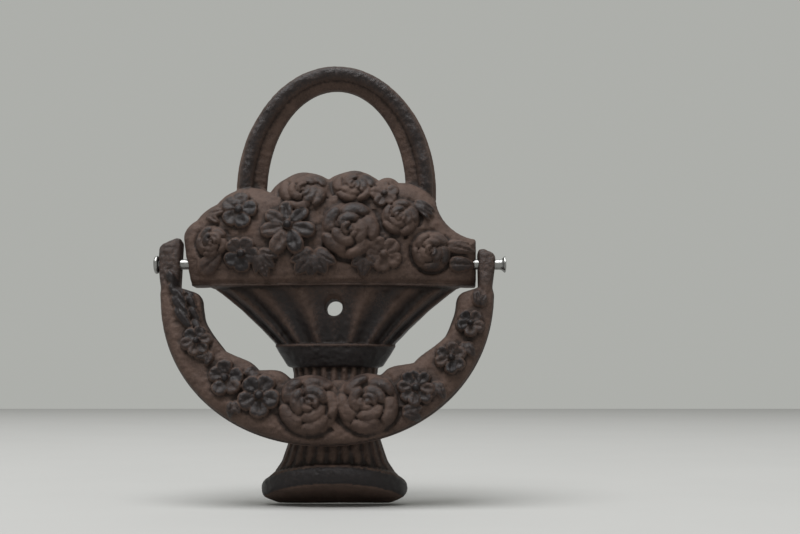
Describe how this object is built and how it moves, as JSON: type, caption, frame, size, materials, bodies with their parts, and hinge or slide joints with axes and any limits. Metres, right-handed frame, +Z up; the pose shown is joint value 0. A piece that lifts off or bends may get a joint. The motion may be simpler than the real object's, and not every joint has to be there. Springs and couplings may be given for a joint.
{
  "type": "door knocker",
  "caption": "Cast-iron door knocker in the shape of a flower basket, whose hinged flower garland swings on a rod through the rim and strikes the fluted stem.",
  "frame": {"origin": "centre of the upper screw hole on the back plane", "axes": "+Z up, towards the loop handle; -Y out of the front, away from the door; +X to the viewer's right"},
  "size_m": [0.1488, 0.0277, 0.1882],
  "materials": {
    "iron": "old waxed rust-brown casting",
    "rod_steel": "bright zinc"
  },
  "bodies": {
    "basket": {"arch_handle": "iron", "flower_bank": "iron", "rim": "iron", "fluted_bowl": "iron", "collar": "iron", "fluted_stem": "iron", "foot": "iron", "rose_centre": "iron", "rose_top_left": "iron", "rose_top_right": "iron", "rose_right_upper": "iron", "rose_right_lower": "iron", "rose_left": "iron", "daisy": "iron", "small_flowers": "iron", "rose_buds": "iron", "leaves": "iron", "pivot_rod": "rod_steel"},
    "knocker": {"garland": "iron", "left_arm": "iron", "right_arm": "iron", "knocker_roses": "iron", "knocker_flowers": "iron", "knocker_leaves": "iron"}
  },
  "joints": [
    {"name": "knocker_swing", "type": "hinge", "parent": "basket", "child": "knocker", "pos_m": [0, -0.01, 0.0185], "axis": [-1, 0, 0], "range_deg": [0, 120]}
  ]
}
